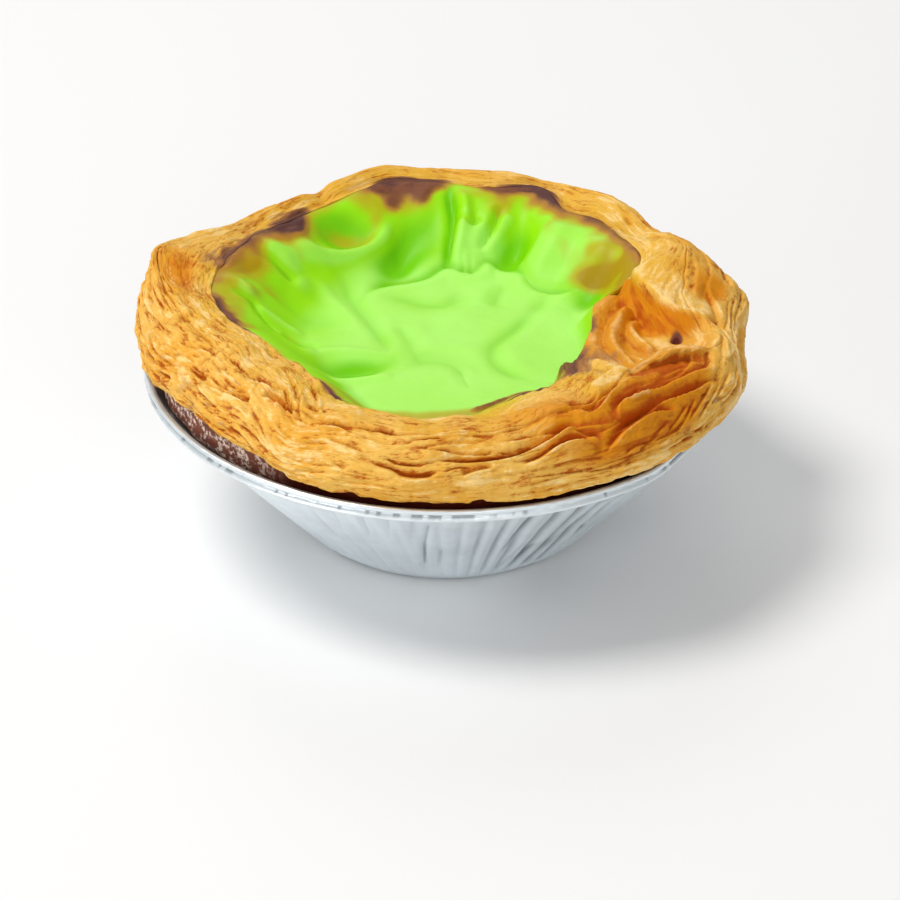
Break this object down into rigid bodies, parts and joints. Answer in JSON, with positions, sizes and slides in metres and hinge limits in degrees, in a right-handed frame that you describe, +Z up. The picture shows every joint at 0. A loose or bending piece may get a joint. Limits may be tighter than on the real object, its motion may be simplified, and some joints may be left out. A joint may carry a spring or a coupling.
{
  "type": "custard tart",
  "caption": "Flaky puff pastry tart with a curled rim fold and wrinkled green custard, standing in a fluted aluminium foil cup.",
  "frame": {"origin": "middle of the foil cup's flat base, on the surface it stands on", "axes": "+Z up through the custard; -Y is the side with the widest flaky rim face, +X the side with the curled rosette fold"},
  "size_m": [0.0759, 0.0751, 0.0312],
  "materials": {
    "foil": "thin bright aluminium foil, fluted wall with a crimped rolled rim",
    "pastry": "baked puff pastry, golden, flaky, lightly glazed",
    "custard": "bright green set custard with a smooth moist skin and brown scorched blisters"
  },
  "bodies": {
    "root": {"foil_cup": "foil", "crust": "pastry", "custard": "custard"}
  },
  "joints": []
}
